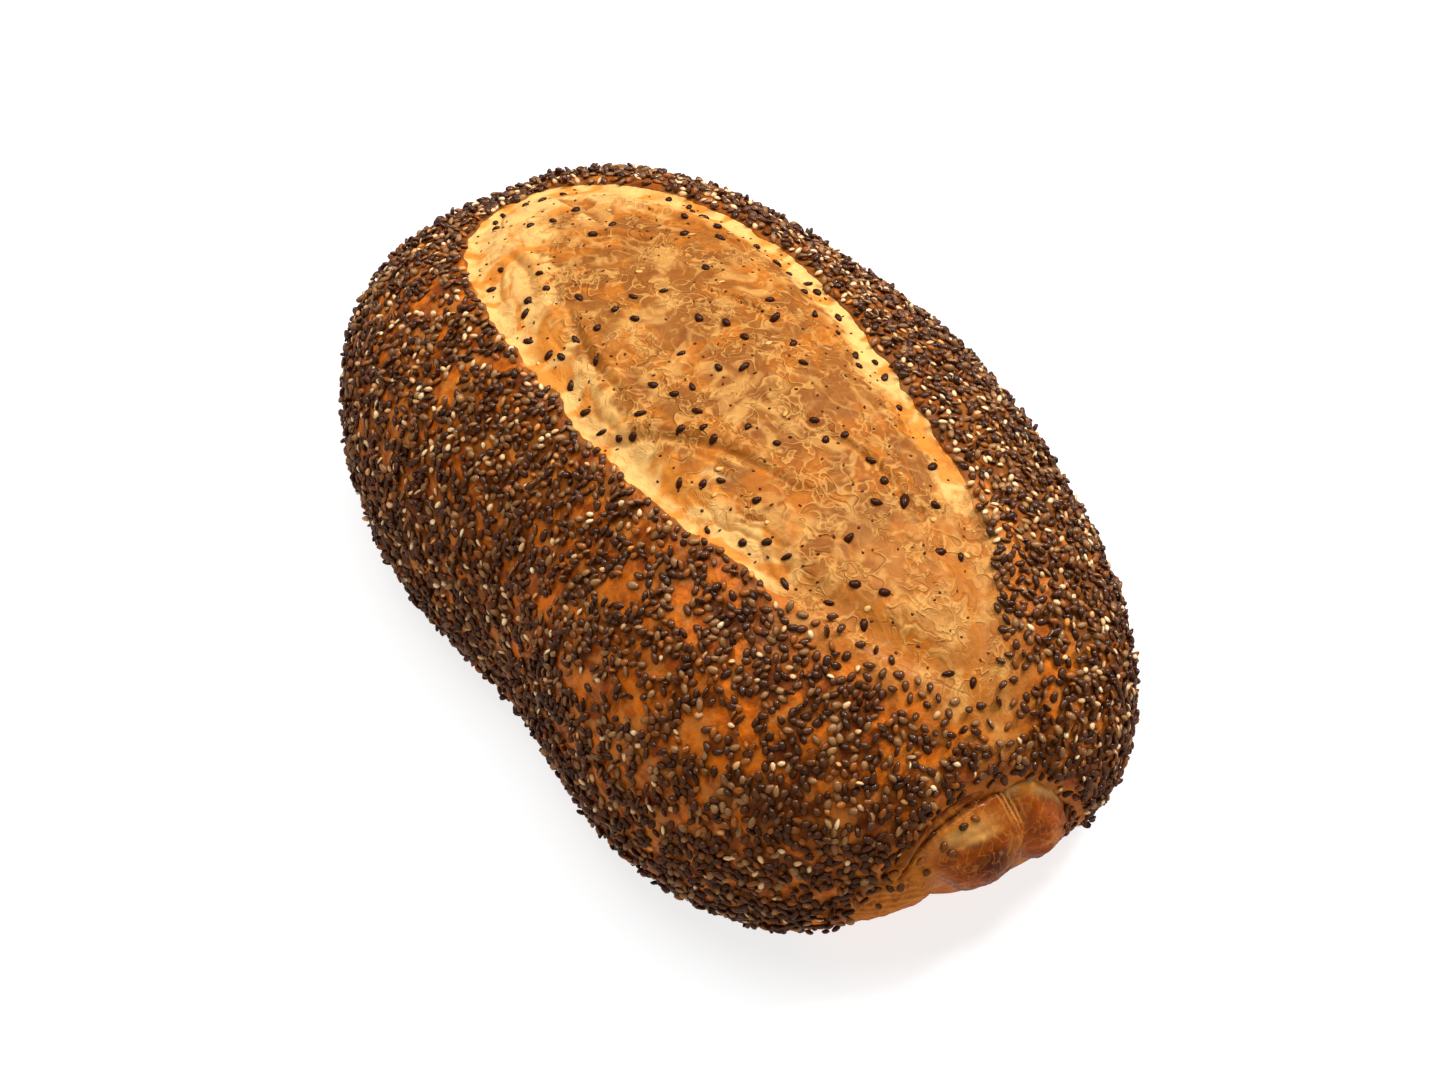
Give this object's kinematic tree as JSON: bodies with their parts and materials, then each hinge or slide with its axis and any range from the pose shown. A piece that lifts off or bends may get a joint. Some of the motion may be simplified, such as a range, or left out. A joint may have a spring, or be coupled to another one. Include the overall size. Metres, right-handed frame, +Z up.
{
  "type": "chia bread",
  "caption": "Whole oval hearth loaf with a seeded glossy crust, one long pale opened score along the top and a bare rolled seam across one end.",
  "frame": {"origin": "middle of the loaf's flat foot, on the surface that it rests on", "axes": "+X along the loaf towards the end with the rolled seam, +Y towards the rounder flank, +Z up"},
  "size_m": [0.2229, 0.1323, 0.0816],
  "materials": {
    "seeded_crust": "glossy orange-brown baked crust set with small dark oval seeds, with a pale golden matt score and a bare rolled seam"
  },
  "bodies": {
    "root": {"loaf": "seeded_crust"}
  },
  "joints": []
}
